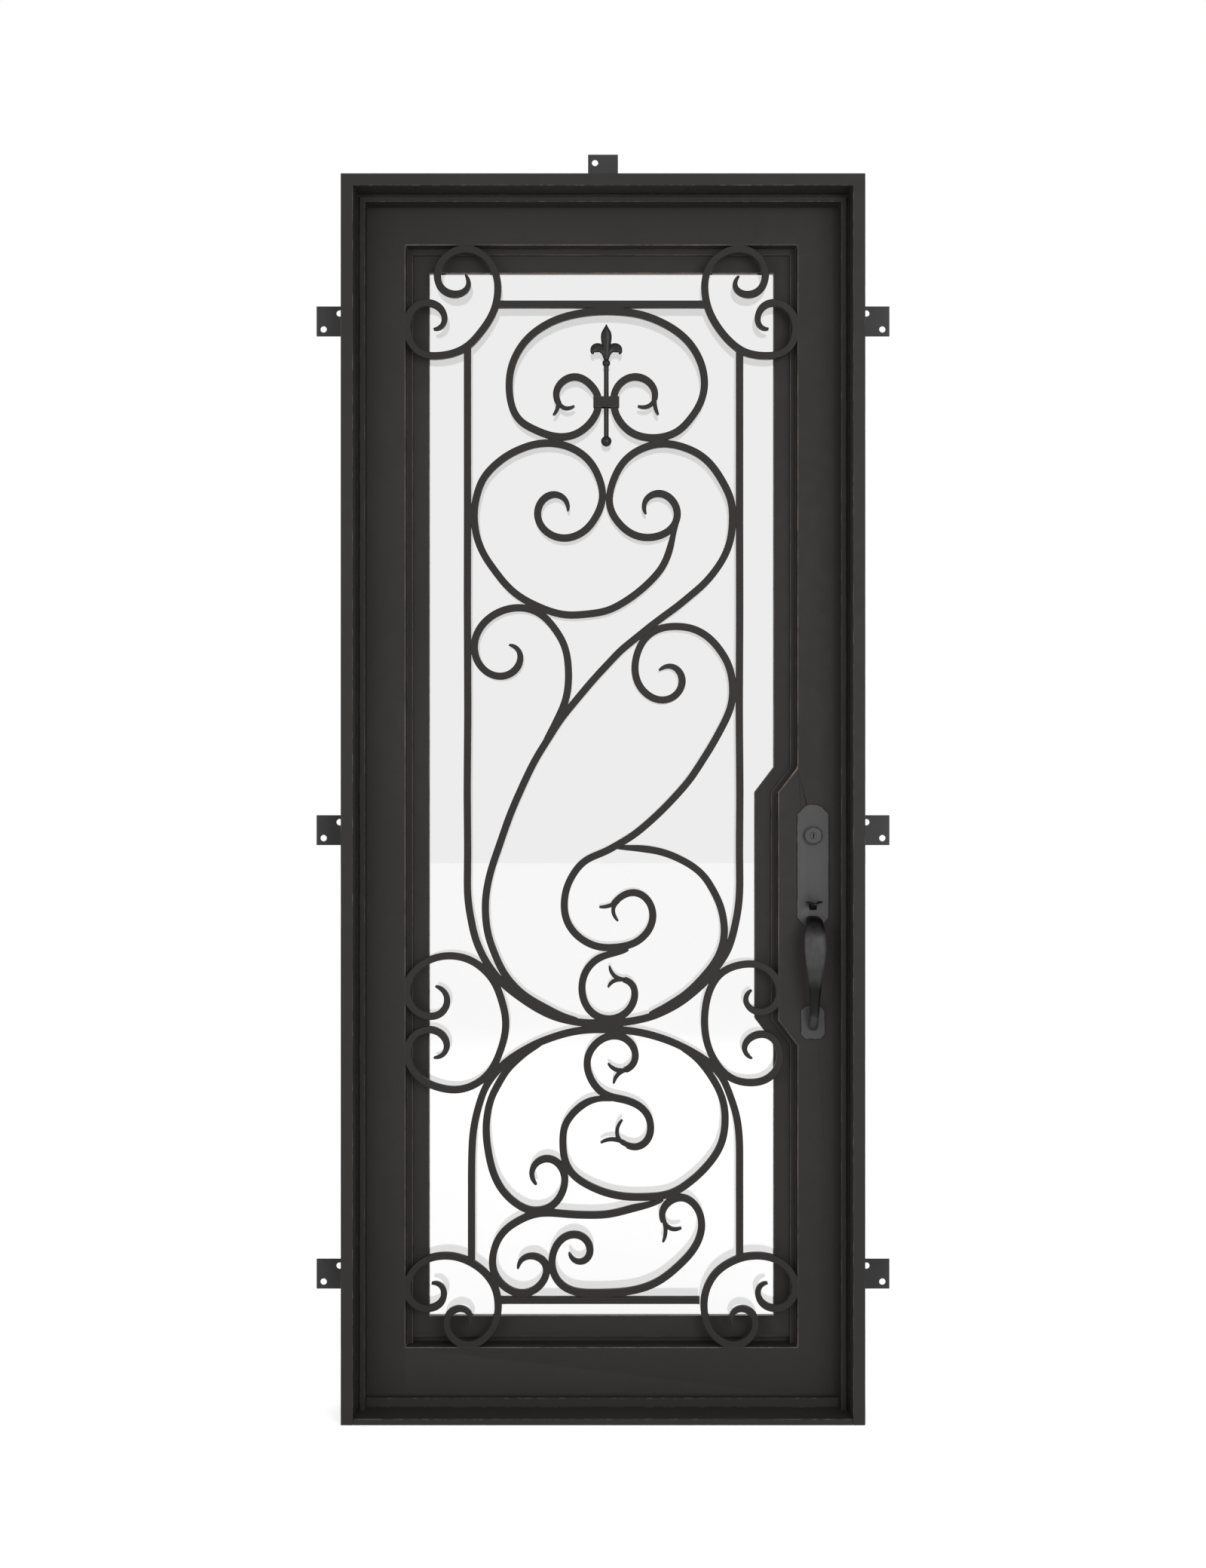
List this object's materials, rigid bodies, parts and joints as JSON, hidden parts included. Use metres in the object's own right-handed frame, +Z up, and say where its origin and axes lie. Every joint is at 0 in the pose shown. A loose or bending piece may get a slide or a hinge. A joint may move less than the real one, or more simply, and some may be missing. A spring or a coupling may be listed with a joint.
{
  "type": "iron front door with frame",
  "caption": "Forged iron entry door hung in its frame, with scrollwork over a tall pane of glass and a thumb-latch pull handle; it swings inward.",
  "frame": {"origin": "middle of the frame's foot, under the sill", "axes": "+X towards the lock side, +Y into the house, +Z up"},
  "size_m": [1.142, 0.2194, 2.5034],
  "materials": {
    "frame_iron": "hand-rubbed dark bronze paint, satin",
    "leaf_iron": "hand-rubbed dark bronze paint, satin",
    "grille_iron": "hand-rubbed dark bronze paint, satin",
    "handle_metal": "oil-rubbed bronze, soft gloss",
    "hinge_metal": "painted steel, satin",
    "tab_steel": "flat dark paint",
    "glass": "clear, smooth"
  },
  "bodies": {
    "frame": {"hinge_jamb": "frame_iron", "strike_jamb": "frame_iron", "head_jamb": "frame_iron", "sill": "frame_iron", "door_stop": "frame_iron", "sill_stop": "frame_iron", "strike_plates": "hinge_metal", "anchor_tabs_hinge_side": "tab_steel", "anchor_tabs_lock_side": "tab_steel", "anchor_tab_head": "tab_steel", "hinge_halves_on_jamb": "hinge_metal", "hinge_pins": "hinge_metal"},
    "door_leaf": {"bottom_rail": "leaf_iron", "branch_scroll_left": "grille_iron", "branch_scroll_right": "grille_iron", "corner_scroll_bottom_left": "grille_iron", "corner_scroll_bottom_right": "grille_iron", "corner_scroll_top_left": "grille_iron", "corner_scroll_top_right": "grille_iron", "crown_scroll": "grille_iron", "cylinder_ring": "handle_metal", "finial_collar": "grille_iron", "finial_lily": "grille_iron", "finial_rod": "grille_iron", "glass": "glass", "glass_bead": "leaf_iron", "glass_sash": "leaf_iron", "glazing_stop": "leaf_iron", "grille_rail_bottom": "grille_iron", "grille_rail_top": "grille_iron", "grip_base": "handle_metal", "handle_plate": "handle_metal", "heart_scroll": "grille_iron", "hinge_halves_on_leaf": "hinge_metal", "hinge_stile": "leaf_iron", "inside_knob": "handle_metal", "inside_plate": "handle_metal", "inside_thumbturn": "handle_metal", "lock_faceplate": "hinge_metal", "lock_stile": "leaf_iron", "lower_arch": "grille_iron", "lower_scroll_left": "grille_iron", "lower_scroll_right": "grille_iron", "lower_spiral": "grille_iron", "main_scroll": "grille_iron", "pull_grip": "handle_metal", "ring_scroll": "grille_iron", "serpentine_scroll": "grille_iron", "side_scroll_left": "grille_iron", "side_scroll_right": "grille_iron", "top_rail": "leaf_iron", "upper_bow": "grille_iron", "waist_scroll_lower": "grille_iron", "waist_scroll_upper": "grille_iron"},
    "thumb_latch": {"thumb_lever": "handle_metal"},
    "key_cylinder": {"key_plug": "handle_metal"}
  },
  "joints": [
    {"name": "door_swing", "type": "hinge", "parent": "frame", "child": "door_leaf", "pos_m": [-0.48425, 0.0852, 0], "axis": [0, 0, 1], "range_deg": [0, 110]},
    {"name": "thumb_press", "type": "hinge", "parent": "door_leaf", "child": "thumb_latch", "pos_m": [0.4183, 0.0304, 1.006], "axis": [1, 0, 0], "range_deg": [0, 18], "stiffness_Nm_per_rad": 1, "springref_deg": -11.46},
    {"name": "key_turn", "type": "hinge", "parent": "door_leaf", "child": "key_cylinder", "pos_m": [0.4183, 0.014, 1.1465], "axis": [0, 1, 0], "range_deg": [-90, 90]}
  ]
}
